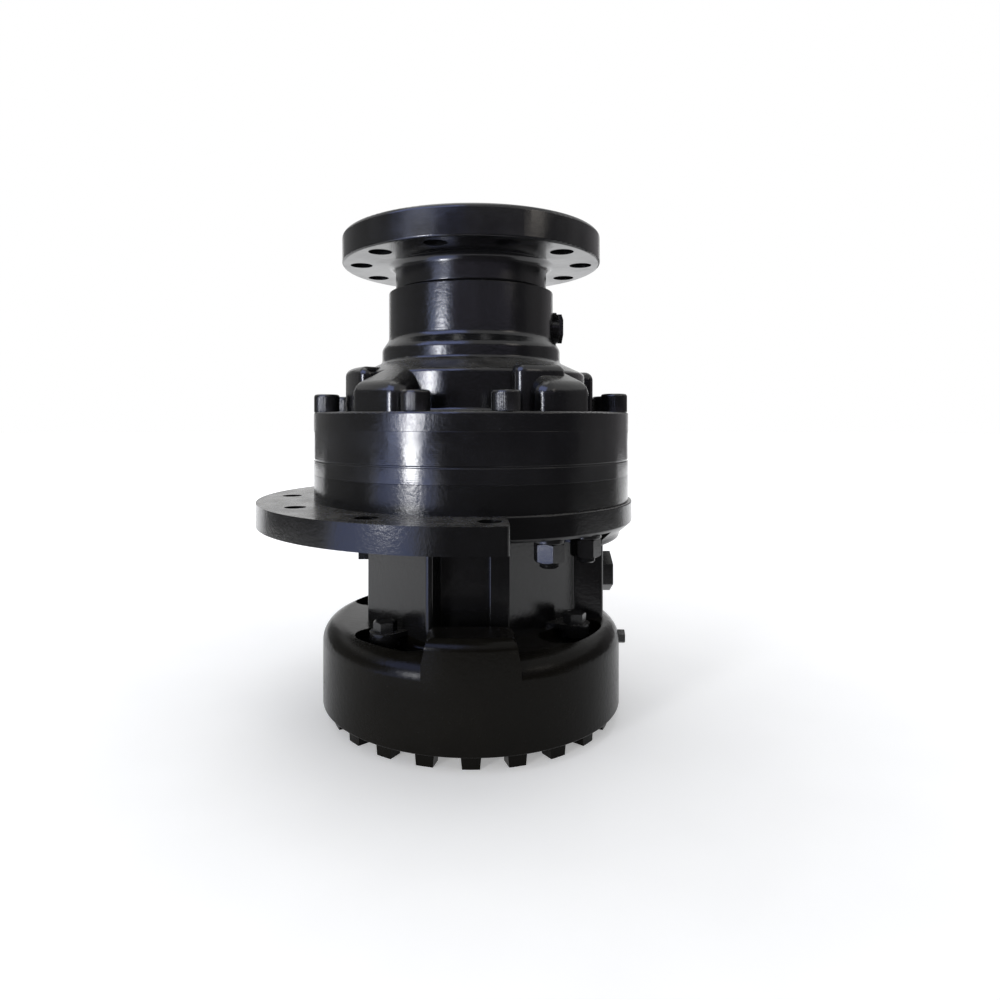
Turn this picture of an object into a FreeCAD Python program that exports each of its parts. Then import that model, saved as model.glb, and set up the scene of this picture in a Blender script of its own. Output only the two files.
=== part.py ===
import FreeCAD, Part
import math
import os
from FreeCAD import Vector

# Hydraulic drive motor: a radial-piston motor with a lobed cam ring, a flanged output shaft on
# taper roller bearings, and a multi-disc parking brake.
# Millimetres, +Z up along the shaft. The origin is where the shaft axis meets the mounting face
# of the half-moon chassis flange. The front of the motor looks along -Y.
# A bearing angle is counted from the front (-Y), positive towards the right (+X).

# Cam surface and the case bolts outside it, which set the radii of the case
cam_surface_max_r = 92.0
cam_wall = 7.4
case_bolt_hole_r = 6.4
case_bolt_edge = 9.2
case_bolt_ring_r = cam_surface_max_r + cam_wall + case_bolt_hole_r
case_r = case_bolt_ring_r + case_bolt_edge

# Chassis flange and rear case
plate_bolt_offset = 19.0
plate_edge = 20.5
plate_bolt_ring_r = case_r + plate_bolt_offset
plate_r = plate_bolt_ring_r + plate_edge
plate_t = 16.0
plate_cut_x = 21.0
plate_corner_r = 4.0
plate_hole_r = 7.0
plate_hole_pitch = 31.5
plate_hole_pairs = 3
disc_ledge = 2.5
step_ledge = 6.4
step_chamfer = 2.0
step_flare = 6.0
step_from = 52.0
step_to = 265.0
disc_r = case_r + disc_ledge
step_r = case_r - step_ledge
step_t = 10.0
rear_rim_h = 18.0
block_h = 61.0
block_half_w = 75.0
block_right_inset = 12.0
block_right_x = step_r - block_right_inset
block_right_half_y = 25.0
block_right_y = 10.0
block_side_half_y = 15.0
block_nose_x = 26.0
block_nose_y = 78.0
block_recess_y = 60.0
block_rib_w = 14.0
block_rib_y = 66.0
block_waist_x = 60.0
block_back_x = 44.0
block_back_y = 78.0
block_back_t = 22.0
block_edge_r = 3.0
side_rib_t = 8.0
side_rib_half_w = 9.0
side_rib_drop = 30.0

# Work ports and drain port on the back of the valve block
port_r = 13.5
port_depth = 26.0
port_x = 24.0
port_drop = 30.0
port_face_r = 19.0
port_face_depth = 1.0
passage_r = 5.5
small_port_r = 6.0
small_port_depth = 12.0
small_port_drop = 58.0
small_plug_flats = 17.0
small_plug_head = 6.0
drain_passage_r = 3.0

# Cam ring and its groove
cam_ring_h = 32.0
cam_groove_up = 10.0
cam_groove_w = 1.2
cam_groove_depth = 0.7
cam_lobe_count = 6
cam_stroke = 12.0

# Bearing seats, which set the radii of the neck
outer_journal_r = 34.0
outer_bearing_section = 18.0
outer_cup_r = outer_journal_r + outer_bearing_section
inner_journal_r = 32.0
inner_bearing_section = 28.0
inner_cup_r = inner_journal_r + inner_bearing_section
neck_wall = 9.0
neck_r = outer_cup_r + neck_wall
collar_step = 5.0
collar_r = neck_r + collar_step

# Front case
front_rim_h = 12.0
cam_room_r = 80.0
recess_w = 31.0
recess_wall_r = case_r - recess_w
cone_foot_h = 27.5
collar_h = 36.0
collar_t = 10.0
collar_edge_r = 7.0
neck_foot_h = 53.0
neck_h = 88.0
lobe_inset = 21.5
lobe_r = case_r - lobe_inset
lobe_h = 31.0
pad_inset = 9.5
pad_r = case_r - pad_inset
pad_h = 17.5
pad_edge_r = 10.0
pad_corner_r = 9.5
lobe_edge_r = 6.0
lobe_angles = (-62.5, 30.5, 105.0, 212.0)
lobe_half_angle = 12.3
pad_angles = (-37.0, 37.0, 143.0, 217.0)
pad_half_angle = 12.8

# Case bolts: two in each recess
case_bolt_pair_angle = 86.5
case_bolt_half_angle = 15.0
quarter = 90.0
case_bolt_r = 6.0
case_bolt_head_r = 9.0
case_bolt_head_h = 13.0
case_bolt_socket_flats = 10.0
case_bolt_socket_depth = 5.0
case_bolt_thread_depth = 14.0
stud_angles = (27.0, 44.0)
stud_bite = 22.0
stud_end = 3.5
nut_flats = 17.0
nut_h = 12.0
nut_washer_r = 10.0
nut_washer_t = 2.5

# Neck plug
neck_plug_h = 63.0
neck_plug_flats = 19.0
neck_plug_head = 4.5
neck_plug_shank_r = 7.0
neck_plug_shank = 5.0
neck_boss_r = 12.0
neck_boss_t = 2.5
neck_boss_root = 6.0

# Output shaft
flange_r = 95.0
flange_t = 21.0
flange_edge_r = 3.0
flange_hole_r = 8.0
flange_bolt_ring_r = 81.0
flange_hole_count = 11
pilot_r = 40.0
pilot_depth = 6.0
hub_r = 56.0
hub_h = 19.0
hub_fillet_r = 6.0
hub_gap = 1.0
seal_journal_r = 38.0
shaft_mid_r = 33.5
spline_tooth_count = 20
spline_tip_r = 27.0
spline_root_r = 24.6
spline_slack = 0.08
shaft_spline_bite = 16.0
spline_neck = 0.8

# Bearings, seal and retainers
outer_bearing_w = 24.0
outer_roller_r = 5.2
inner_bearing_w = 24.0
inner_roller_r = 6.4
bearing_roller_count = 12
roller_tilt = 14.0
roller_slack = 0.12
cup_inset = 2.0
cage_inset = 1.2
cage_t = 1.5
cage_slack = 0.3
rib_h = 3.0
seal_h = 9.0
seal_r = 50.0
seal_slack = 0.08
case_bore_r = 44.0
shaft_ring_t = 4.0
shaft_ring_bite = 2.5
shaft_ring_lip = 6.0
preload_ring_t = 5.0
inner_bearing_up = 3.5

# Cylinder block, pistons and rollers
piston_count = 8
piston_r = 12.5
piston_slack = 0.05
piston_foot_r = 40.0
bore_foot_r = 37.8
block_r = 70.0
block_t = 29.0
roller_r = 8.0
roller_len = 18.0
cradle_slack = 0.1
cradle_lip = 2.0
piston_edge = 3.0
freewheel_gap = 0.6
rotor_phase = 7.5
feed_hole_r = 3.0
feed_ring_r = 41.5

# Distributor: three steps, largest at the cylinder block
step_radii = (50.0, 45.0, 40.0)
step_heights = (22.0, 20.0, 20.0)
distributor_slack = 0.05
distributor_bore_r = 16.0
distributor_gap = 0.1
kidney_r = 3.2
kidney_depth = 10.0
annulus_depth = 3.0
annulus_w = 7.0
ring_seal_t = 1.6
ring_seal_depth = 2.4
wave_spring_t = 1.2
wave_spring_gap = 2.4
locating_pin_r = 3.0
locating_pin_len = 10.0

# Two-speed spool, across the valve block behind the brake shaft
spool_y = 25.0
spool_drop = 45.5
spool_bore_r = 8.0
spool_slack = 0.04
spool_waist_r = 5.0
spool_travel = 8.0
spool_land = 12.0
spool_spring_len = 24.0
spool_spring_r = 5.6
spool_spring_wire = 1.6
spool_spring_turn_count = 4
spool_stop_r = 4.0
cap_bore_r = 11.0
cap_seat_depth = 14.0
cap_flats = 27.0
cap_head = 12.5
left_plug_inset = 0.7
left_plug_socket_flats = 10.0
left_plug_socket_depth = 2.5

# Brake
spring_bore_r = 92.0
housing_wall = 16.5
housing_r = spring_bore_r + housing_wall
housing_h = 58.0
shoulder_r = 14.0
lug_count = 22
lug_h = 10.0
lug_top_w = 13.0
lug_foot_w = 11.0
lug_inset = 7.0
lug_outer_r = housing_r - lug_inset
web_half_w = 28.5
web_rise = 12.0
web_foot = 2.0
web_edge_r = 7.0
web_inner_y = 79.0
ear_ring_r = 81.0
ear_r = 10.5
pocket_room = 6.5
ear_gap = 0.6
pocket_inner_r = ear_ring_r - ear_r - ear_gap
pocket_outer_r = ear_ring_r + ear_r + pocket_room
pocket_depth = 9.0
pocket_edge_r = 4.0
ear_chamfer = pocket_edge_r - ear_gap / 2.0
pocket_toward_web = 28.0
pocket_away = 14.0
separator_tab_w = 16.0
brake_port_r = 5.0
brake_port_depth = 10.0
brake_port_passage_r = 0.9
brake_port_boss_r = 10.5
brake_port_boss_t = 2.0
brake_plug_flats = 14.0
brake_plug_head = 5.0
ear_t = 12.0
ear_angle = 54.0
ear_turn = 9.0
brake_bolt_r = 5.0
brake_bolt_hole_r = 5.5
brake_bolt_flats = 14.0
brake_bolt_head = 7.0
brake_bolt_thread = 14.0
disc_bore_r = 66.0
disc_bore_top = 17.0
disc_bore_h = 14.0
brake_shaft_r = 12.0
brake_hub_r = 24.0
brake_hub_root_r = 22.0
brake_hub_tooth_count = 12
brake_hub_h = 16.0
wall_bore_r = 27.0
friction_disc_count = 3
friction_t = 2.0
separator_t = 1.6
disc_gap = 0.2
friction_outer_r = 58.0
separator_inner_r = 30.0
separator_tab_count = 8
separator_tab_h = 3.6
tab_slack = 0.3
brake_piston_slack = 0.05
brake_piston_t = 7.0
brake_piston_travel = 2.0
brake_seal_t = 3.0
brake_seal_depth = 2.2
spring_cone_t = 2.0
spring_cone_inner_r = 60.0
cover_t = 8.0
cover_slack = 0.1
cover_ring_t = 2.2
cover_ring_bite = 2.5
cover_ring_lip = 4.0
bleed_angle = 86.0
bleed_drop = 16.0
bleed_flats = 9.0
bleed_head = 5.0
bleed_shank_r = 3.5
bleed_shank = 12.0

case_seal_gap = 0.8
case_seal_r = case_bolt_ring_r - case_bolt_hole_r - case_seal_gap
case_seal_w = 2.0
case_seal_groove = 1.6
piece_gap = 0.3

# Levels along the shaft
plate_bottom = -plate_t
step_bottom = plate_bottom - step_t
joint_z = step_bottom - block_h
rear_top = rear_rim_h
cam_top = rear_top + cam_ring_h
rim_top = cam_top + front_rim_h
neck_top = rim_top + neck_h
hub_bottom = neck_top + hub_gap
flange_bottom = hub_bottom + hub_h
flange_top = flange_bottom + flange_t
housing_bottom = joint_z - housing_h
lug_bottom = housing_bottom - lug_h
piston_z = rear_top + cam_ring_h / 2.0
block_bottom = piston_z - block_t / 2.0
block_top = piston_z + block_t / 2.0
port_z = plate_bottom - port_drop
spool_z = plate_bottom - spool_drop

seal_bottom = neck_top - seal_h - 1.0
outer_back = seal_bottom - 1.0
outer_front = outer_back - outer_bearing_w
inner_back = rim_top + inner_bearing_up
inner_front = inner_back + inner_bearing_w
preload_bottom = inner_back - preload_ring_t
shaft_ring_bottom = preload_bottom - shaft_ring_t
spline_bottom = block_top - shaft_spline_bite

# The cam: the roller centres follow this pitch circle, in and out by half the stroke
pitch_r = cam_surface_max_r - roller_r - cam_stroke / 2.0
roller_park_r = pitch_r - cam_stroke / 2.0 - freewheel_gap

distributor_top = block_bottom - distributor_gap


def polar(radius, angle, z=0.0):
    """The point at a radius and a bearing angle from the front."""
    a = math.radians(angle)
    return Vector(radius * math.sin(a), -radius * math.cos(a), z)


def rod(radius, z0, z1, at=Vector(0, 0, 0)):
    return Part.makeCylinder(radius, z1 - z0, Vector(at.x, at.y, z0))


def bar(radius, start, end):
    """A cylinder from one point to another."""
    return Part.makeCylinder(radius, (end - start).Length, start, end - start)


def ring(outer, inner, z0, z1):
    return rod(outer, z0, z1).cut(rod(inner, z0, z1))


def box(x0, x1, y0, y1, z0, z1):
    return Part.makeBox(x1 - x0, y1 - y0, z1 - z0, Vector(x0, y0, z0))


def outline(points, place):
    """A closed wire through 2-D points; a third value on a point rounds its corner."""
    count = len(points)
    starts = []
    ends = []
    mids = []
    for i in range(count):
        here = place(points[i][0], points[i][1])
        radius = points[i][2] if len(points[i]) > 2 else 0.0
        if radius <= 0.0:
            starts.append(here)
            ends.append(here)
            mids.append(None)
            continue
        before = place(*points[i - 1][:2]) - here
        after = place(*points[(i + 1) % count][:2]) - here
        before.normalize()
        after.normalize()
        half = before.getAngle(after) / 2.0
        reach = radius / math.tan(half)
        inward = before + after
        inward.normalize()
        starts.append(here + before * reach)
        ends.append(here + after * reach)
        mids.append(here + inward * (radius / math.sin(half) - radius))
    edges = []
    for i in range(count):
        if mids[i] is not None:
            edges.append(Part.Arc(starts[i], mids[i], ends[i]).toShape())
        follow = starts[(i + 1) % count]
        if (follow - ends[i]).Length > 1e-6:
            edges.append(Part.makeLine(ends[i], follow))
    return Part.Wire(edges)


def turned(points, angle=360.0, start=0.0):
    """A solid of revolution about the shaft axis from (radius, height) points."""
    face = Part.Face(outline(points, lambda r, z: Vector(0, -r, z)))
    solid = face.revolve(Vector(0, 0, 0), Vector(0, 0, 1), angle)
    solid.rotate(Vector(0, 0, 0), Vector(0, 0, 1), start)
    return solid


def plate(points, z0, z1):
    """A prism along the shaft axis from (x, y) points."""
    face = Part.Face(outline(points, lambda x, y: Vector(x, y, z0)))
    return face.extrude(Vector(0, 0, z1 - z0))


def turn(shape, angle):
    """A copy turned by a bearing angle."""
    copy = shape.copy()
    copy.rotate(Vector(0, 0, 0), Vector(0, 0, 1), angle)
    return copy


def around(shape, count, start=0.0, pitch=None):
    """Copies of a shape about the shaft axis."""
    step = 360.0 / count if pitch is None else pitch
    return [turn(shape, start + step * i) for i in range(count)]


def joined(shapes):
    first = shapes[0]
    return first.fuse(shapes[1:]).removeSplitter()


def hexagon(flats, z0, z1, at=Vector(0, 0, 0), spin=0.0):
    corner = flats / math.sqrt(3.0)
    points = []
    for i in range(6):
        a = math.radians(60.0 * i + spin)
        points.append((at.x + corner * math.cos(a), at.y + corner * math.sin(a)))
    return plate(points, z0, z1)


def aimed(shape, at, direction):
    """A shape built along +Z from the origin, aimed along a direction from a point."""
    placed = shape.copy()
    aim = FreeCAD.Placement(at, FreeCAD.Rotation(Vector(0, 0, 1), direction))
    placed.Placement = aim.multiply(placed.Placement)
    return placed


def export(name, shape):
    shape.exportStep("parts/" + name + ".step")


def sector(points, middle, half, edge, outer, inner, z0, z1):
    """A turned profile about a bearing angle, its upright edges rounded."""
    first = math.radians(middle - half)
    last = math.radians(middle + half)
    reach = outer * 1.3
    corners = [
        (inner * math.sin(first), -inner * math.cos(first)),
        (reach * math.sin(first), -reach * math.cos(first)),
        (reach * math.sin(last), -reach * math.cos(last)),
        (inner * math.sin(last), -inner * math.cos(last)),
    ]
    wedge = plate(corners, z0, z1)
    body = turned(points).common(wedge)
    upright = [
        e for e in body.Edges
        if e.Length > edge / 2.0
        and abs(e.Vertexes[0].X - e.Vertexes[-1].X) < 1e-6
        and abs(e.Vertexes[0].Y - e.Vertexes[-1].Y) < 1e-6
        and math.hypot(e.Vertexes[0].X, e.Vertexes[0].Y) > outer - 1e-3
    ]
    return body.makeFillet(edge, upright) if upright else body


def splined(tip, root, teeth, slack, z0, z1):
    """A splined prism: straight-flanked teeth whose outline grows by the slack."""
    points = []
    pitch = 2.0 * math.pi / teeth
    for i in range(teeth):
        for radius, share in ((root, -0.30), (tip, -0.20), (tip, 0.20), (root, 0.30)):
            grow = slack / radius if share > 0 else -slack / radius
            a = pitch * (i + share) + grow
            points.append(((radius + slack) * math.cos(a), (radius + slack) * math.sin(a)))
    return plate(points, z0, z1)


def case_bolt_angles():
    """Bearing angles of the case bolts: a pair in the recess between each two pads."""
    angles = []
    for k in range(4):
        middle = case_bolt_pair_angle + quarter * k
        angles.append(middle - case_bolt_half_angle)
        angles.append(middle + case_bolt_half_angle)
    return angles


def case_bolt_holes(z0, z1):
    return [rod(case_bolt_hole_r, z0, z1, polar(case_bolt_ring_r, a)) for a in case_bolt_angles()]


def ear_angles():
    """Bearing angles of the brake bolts: the front pair, and the same pair turned to the back."""
    left = ear_turn - ear_angle
    right = ear_turn + ear_angle
    return left, right, left + 180.0, right + 180.0


def ear_bottom():
    """The ears of the valve block reach down into the brake housing's pockets."""
    return joint_z - pocket_depth


def ear_seat():
    return ear_bottom() + ear_t


def stud_holes(z0, z1):
    return [rod(case_bolt_hole_r, z0, z1, polar(case_bolt_ring_r, a)) for a in stud_angles]


# Taper roller bearings: roller and raceway cones share one point on the shaft axis.

def bearing_cones(bore, cup, radius):
    """Mid radius of the rollers, distance of the cones' common point, and half angle of a roller."""
    mid = (bore + cup) / 2.0
    tilt = math.radians(roller_tilt)
    far = mid / math.tan(tilt)
    half = math.asin(radius * math.sin(tilt) / mid)
    return mid, far, half


def make_bearing(name, bore, cup, width, radius, back_z, away):
    """Cup, cone, rollers and cage; the rollers' thick end is at back_z, and away is the side."""
    mid, far, half = bearing_cones(bore, cup, radius)
    tilt = math.radians(roller_tilt)
    apex = back_z + away * (width / 2.0 + far)

    def level(t):
        return back_z + away * t

    def raceway(t, angle):
        return (far + width / 2.0 - t) * math.tan(angle)

    cup_face = [
        (cup, level(cup_inset)),
        (cup, level(width)),
        (raceway(width, tilt + half), level(width)),
        (raceway(cup_inset, tilt + half), level(cup_inset)),
    ]
    export(name + "_cup", turned(cup_face))
    roller_from = rib_h + radius * math.sin(tilt) + roller_slack
    roller_to = width - rib_h - 0.6
    back_face = rib_h
    back_rib_r = raceway(back_face, tilt - half) + rib_h
    front_face = roller_to + 0.6
    front_rib_r = raceway(front_face, tilt - half) + rib_h / 2.5
    cone_face = [
        (bore, level(0.0)),
        (back_rib_r, level(0.0)),
        (back_rib_r, level(back_face)),
        (raceway(back_face, tilt - half), level(back_face)),
        (raceway(front_face, tilt - half), level(front_face)),
        (front_rib_r, level(front_face)),
        (front_rib_r, level(width - 1.0)),
        (bore, level(width - 1.0)),
    ]
    export(name + "_cone", turned(cone_face))

    def rollers(grow):
        far_back = (far + width / 2.0 - roller_from) / math.cos(tilt)
        far_front = (far + width / 2.0 - roller_to) / math.cos(tilt)
        along = Vector(math.sin(tilt), 0, -away * math.cos(tilt))
        first = far_front - max(grow, 0.0)
        last = far_back + max(grow, 0.0)
        one = Part.makeCone(
            first * math.tan(half) + grow,
            last * math.tan(half) + grow,
            last - first,
            Vector(0, 0, apex) + along * first,
            along,
        )
        return around(one, bearing_roller_count)

    export(name + "_rollers", Part.makeCompound(rollers(-roller_slack)))
    cage_from = cage_inset
    cage_to = width - cage_inset
    wall = cage_t / math.cos(tilt) / 2.0
    cage_face = [
        (raceway(cage_from, tilt) - wall, level(cage_from)),
        (raceway(cage_from, tilt) + wall, level(cage_from)),
        (raceway(cage_to, tilt) + wall, level(cage_to)),
        (raceway(cage_to, tilt) - wall, level(cage_to)),
    ]
    export(name + "_cage", turned(cage_face).cut(rollers(cage_slack)))


# Output shaft and what sits on it

def make_output_shaft():
    body = turned([
        (0, flange_top - pilot_depth),
        (pilot_r, flange_top - pilot_depth),
        (pilot_r, flange_top),
        (flange_r, flange_top, flange_edge_r),
        (flange_r, flange_bottom, flange_edge_r / 2.0),
        (hub_r, flange_bottom, hub_fillet_r),
        (hub_r, hub_bottom, 1.5),
        (seal_journal_r, hub_bottom),
        (seal_journal_r, outer_back),
        (outer_journal_r, outer_back),
        (outer_journal_r, outer_front + 1.0),
        (shaft_mid_r, outer_front + 1.0),
        (shaft_mid_r, inner_front - 1.0),
        (inner_journal_r, inner_front - 1.0),
        (inner_journal_r, preload_bottom),
        (inner_journal_r - shaft_ring_bite, preload_bottom),
        (inner_journal_r - shaft_ring_bite, shaft_ring_bottom),
        (inner_journal_r, shaft_ring_bottom),
        (inner_journal_r, shaft_ring_bottom - 2.0),
        (spline_root_r, block_top + spline_neck),
        (0, block_top + spline_neck),
    ])
    spline = splined(spline_tip_r, spline_root_r, spline_tooth_count, 0.0,
                     spline_bottom, shaft_ring_bottom - 1.0)
    body = body.fuse(spline)
    hole = rod(flange_hole_r, flange_bottom - 1.0, flange_top + 1.0, polar(flange_bolt_ring_r, 180.0))
    body = body.cut(around(hole, flange_hole_count))
    export("output_shaft", body)


def make_shaft_rings():
    export("preload_ring", ring(inner_journal_r + shaft_ring_lip, inner_journal_r,
                                preload_bottom, inner_back))
    split = ring(inner_journal_r + shaft_ring_lip - 1.0, inner_journal_r - shaft_ring_bite,
                 shaft_ring_bottom, preload_bottom)
    gap = box(0, 2.0 * inner_journal_r, -2.0, 2.0, shaft_ring_bottom, preload_bottom)
    export("shaft_retaining_ring", split.cut(gap))


def make_shaft_seal():
    lip = seal_journal_r + seal_slack
    export("shaft_seal", turned([
        (seal_r, seal_bottom),
        (seal_r, seal_bottom + seal_h),
        (lip + 2.0, seal_bottom + seal_h),
        (lip, seal_bottom + seal_h - 2.0),
        (lip + 2.0, seal_bottom + seal_h - 4.0),
        (lip + 2.0, seal_bottom + 1.5),
        (lip + 4.0, seal_bottom),
        (lip + 6.0, seal_bottom),
        (lip + 6.0, seal_bottom + seal_h - 2.5),
        (seal_r - 2.0, seal_bottom + seal_h - 2.5),
        (seal_r - 2.0, seal_bottom),
    ]))


# Front case

def front_case_profile():
    return [
        (cam_room_r, cam_top),
        (case_r, cam_top),
        (case_r, rim_top, 1.5),
        (recess_wall_r, rim_top, 3.0),
        (recess_wall_r, rim_top + cone_foot_h, 3.0),
        (collar_r, rim_top + collar_h, collar_edge_r / 2.0),
        (collar_r, rim_top + collar_h + collar_t, collar_edge_r),
        (neck_r, rim_top + neck_foot_h, collar_edge_r),
        (neck_r, neck_top, 0.8),
        (seal_r, neck_top),
        (seal_r, seal_bottom),
        (outer_cup_r, seal_bottom - 0.5),
        (outer_cup_r, outer_front),
        (case_bore_r, outer_front),
        (case_bore_r, inner_front),
        (inner_cup_r, inner_front),
        (inner_cup_r, inner_back),
        (inner_cup_r + 3.0, inner_back - 3.0),
        (inner_cup_r + 3.0, cam_top + 2.0),
        (cam_room_r, cam_top + 2.0),
    ]


def make_front_case():
    slope = (cone_foot_h - pad_h) / (pad_r - recess_wall_r)
    inside = recess_wall_r - 10.0
    masses = []
    for angle in lobe_angles:
        masses.append(sector([
            (inside, rim_top),
            (lobe_r, rim_top),
            (lobe_r, rim_top + lobe_h, lobe_edge_r),
            (inside, rim_top + lobe_h),
        ], angle, lobe_half_angle, lobe_edge_r, lobe_r, inside - 5.0, rim_top - 1.0, rim_top + lobe_h + 1.0))
    for angle in pad_angles:
        masses.append(sector([
            (inside, rim_top),
            (pad_r, rim_top),
            (pad_r, rim_top + pad_h, pad_edge_r),
            (inside, rim_top + pad_h + slope * (pad_r - inside)),
        ], angle, pad_half_angle, pad_corner_r, pad_r, inside - 5.0, rim_top - 1.0,
            rim_top + cone_foot_h * 2.0))
    body = turned(front_case_profile())
    body = body.fuse(masses)
    boss_z = rim_top + neck_plug_h
    boss = bar(neck_boss_r, Vector(neck_r - neck_boss_root, 0, boss_z),
               Vector(neck_r + neck_boss_t, 0, boss_z))
    body = body.fuse(boss)
    shank = bar(neck_plug_shank_r, Vector(neck_r + neck_boss_t - neck_plug_shank - piece_gap, 0, boss_z),
                Vector(neck_r + neck_boss_t + 1.0, 0, boss_z))
    body = body.cut([shank] + case_bolt_holes(cam_top - 1.0, rim_top + 1.0))
    body = body.cut(seal_groove(cam_top, 1.0))
    export("front_case", body)


def make_neck_plug():
    face_x = neck_r + neck_boss_t
    boss_z = rim_top + neck_plug_h
    head = aimed(hexagon(neck_plug_flats, 0, neck_plug_head), Vector(face_x, 0, boss_z), Vector(1, 0, 0))
    collar = bar(neck_plug_flats / 2.0 + 1.2, Vector(face_x, 0, boss_z), Vector(face_x + 1.5, 0, boss_z))
    shank = bar(neck_plug_shank_r, Vector(face_x - neck_plug_shank, 0, boss_z), Vector(face_x, 0, boss_z))
    export("neck_plug", joined([head, collar, shank]))


def seal_groove(face_z, up):
    """The groove of a case seal ring, on the side of the joint that up gives."""
    z0 = face_z if up > 0 else face_z - case_seal_groove
    return ring(case_seal_r, case_seal_r - case_seal_w, z0, z0 + case_seal_groove)


def make_case_seals():
    inset = 0.05
    outer = case_seal_r - inset
    inner = case_seal_r - case_seal_w + inset
    export("front_case_seal", ring(outer, inner, cam_top, cam_top + case_seal_groove))
    export("rear_case_seal", ring(outer, inner, rear_top - case_seal_groove, rear_top))


def make_case_bolts():
    bolts = []
    for a in case_bolt_angles():
        at = polar(case_bolt_ring_r, a)
        shank = rod(case_bolt_r, rear_top - case_bolt_thread_depth, rim_top, at)
        head = rod(case_bolt_head_r, rim_top, rim_top + case_bolt_head_h, at)
        top = rim_top + case_bolt_head_h
        socket = hexagon(case_bolt_socket_flats, top - case_bolt_socket_depth, top, at)
        bolts.append(shank.fuse(head).removeSplitter().cut(socket))
    export("case_bolts", Part.makeCompound(bolts))


def make_rear_studs():
    """Studs from the cam ring through the rear case, with their nuts under its rim."""
    studs = []
    foot = plate_bottom - nut_washer_t - nut_h
    for a in stud_angles:
        at = polar(case_bolt_ring_r, a)
        shank = rod(case_bolt_r, foot - stud_end, rear_top + stud_bite - piece_gap, at)
        washer = rod(nut_washer_r, plate_bottom - nut_washer_t, plate_bottom, at)
        studs.append(joined([shank, washer, hexagon(nut_flats, foot, plate_bottom - nut_washer_t, at, a)]))
    export("rear_studs", Part.makeCompound(studs))


# Cam ring, cylinder block, pistons and rollers

def cam_point(angle):
    """A point of the cam surface: the roller centre's path moved out by the roller's radius."""
    path = pitch_r - cam_stroke / 2.0 * math.cos(cam_lobe_count * angle)
    slope = cam_stroke / 2.0 * cam_lobe_count * math.sin(cam_lobe_count * angle)
    size = math.hypot(path, slope)
    out = path + roller_r * path / size
    side = -roller_r * slope / size
    c = math.cos(angle)
    s = math.sin(angle)
    return Vector(out * c - side * s, out * s + side * c, rear_top)


def make_cam_ring():
    per_lobe = 8
    count = cam_lobe_count * per_lobe
    curve = Part.BSplineCurve()
    curve.interpolate([cam_point(2.0 * math.pi * i / count) for i in range(count)], True)
    track = Part.Face(Part.Wire(curve.toShape())).extrude(Vector(0, 0, cam_ring_h))
    groove_z = rear_top + cam_groove_up
    groove = ring(case_r + 1.0, case_r - cam_groove_depth, groove_z, groove_z + cam_groove_w)
    body = rod(case_r, rear_top, cam_top).cut([track, groove])
    holes = case_bolt_holes(rear_top - 1.0, cam_top + 1.0)
    holes += stud_holes(rear_top - 1.0, rear_top + stud_bite)
    export("cam_ring", body.cut(holes))


def piston_angles():
    """Angles of the pistons from the +X axis, with the rotor standing at its rest phase."""
    return [360.0 / piston_count * k + rotor_phase for k in range(piston_count)]


def make_cylinder_block():
    between = rotor_phase + 180.0 / piston_count
    body = turn(rod(block_r, block_bottom, block_top), between)
    bore = bar(piston_r + piston_slack, Vector(bore_foot_r, 0, piston_z), Vector(block_r + 2.0, 0, piston_z))
    feed = rod(feed_hole_r, block_bottom, piston_z, Vector(feed_ring_r, 0, 0))
    body = body.cut([turn(bore, a) for a in piston_angles()])
    body = body.cut([turn(feed, a) for a in piston_angles()])
    spline = splined(spline_tip_r, spline_root_r, spline_tooth_count, spline_slack, block_bottom, block_top)
    export("cylinder_block", body.cut(spline))


def make_pistons():
    head = roller_park_r + cradle_lip
    body = aimed(turned([
        (0, piston_foot_r),
        (piston_r, piston_foot_r),
        (piston_r, head - piston_edge),
        (piston_r - piston_edge, head),
        (0, head),
    ]), Vector(0, 0, piston_z), Vector(1, 0, 0))
    cradle = rod(roller_r + cradle_slack, piston_z - piston_r, piston_z + piston_r,
                 Vector(roller_park_r, 0, 0))
    body = body.cut(cradle)
    roller = rod(roller_r, piston_z - roller_len / 2.0, piston_z + roller_len / 2.0,
                 Vector(roller_park_r, 0, 0))
    for k, a in enumerate(piston_angles()):
        export("piston_%d" % (k + 1), turn(body, a))
        export("piston_roller_%d" % (k + 1), turn(roller, a))


# Distributor and its small pieces

def distributor_levels():
    levels = [distributor_top]
    for height in step_heights:
        levels.append(levels[-1] - height)
    return levels


def make_distributor():
    levels = distributor_levels()
    points = [(distributor_bore_r, levels[0])]
    for radius, top, bottom in zip(step_radii, levels, levels[1:]):
        points.append((radius, top))
        points.append((radius, bottom))
    points.append((distributor_bore_r, levels[-1]))
    body = turned(points)
    kidney = rod(kidney_r, distributor_top - kidney_depth, distributor_top + 1.0, Vector(feed_ring_r, 0, 0))
    cuts = around(kidney, 2 * cam_lobe_count, 90.0 / cam_lobe_count)
    for radius, bottom in zip(step_radii, levels[1:]):
        groove_z = bottom + 3.0
        cuts.append(ring(radius + 1.0, radius - ring_seal_depth, groove_z, groove_z + ring_seal_t))
    pin_z = levels[-1]
    cuts.append(rod(locating_pin_r + 0.05, pin_z - 1.0, pin_z + locating_pin_len / 2.0, pin_at()))
    export("distributor", body.cut(cuts))


def pin_at():
    return polar(distributor_bore_r + 2.0 * locating_pin_r, 180.0)


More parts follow.
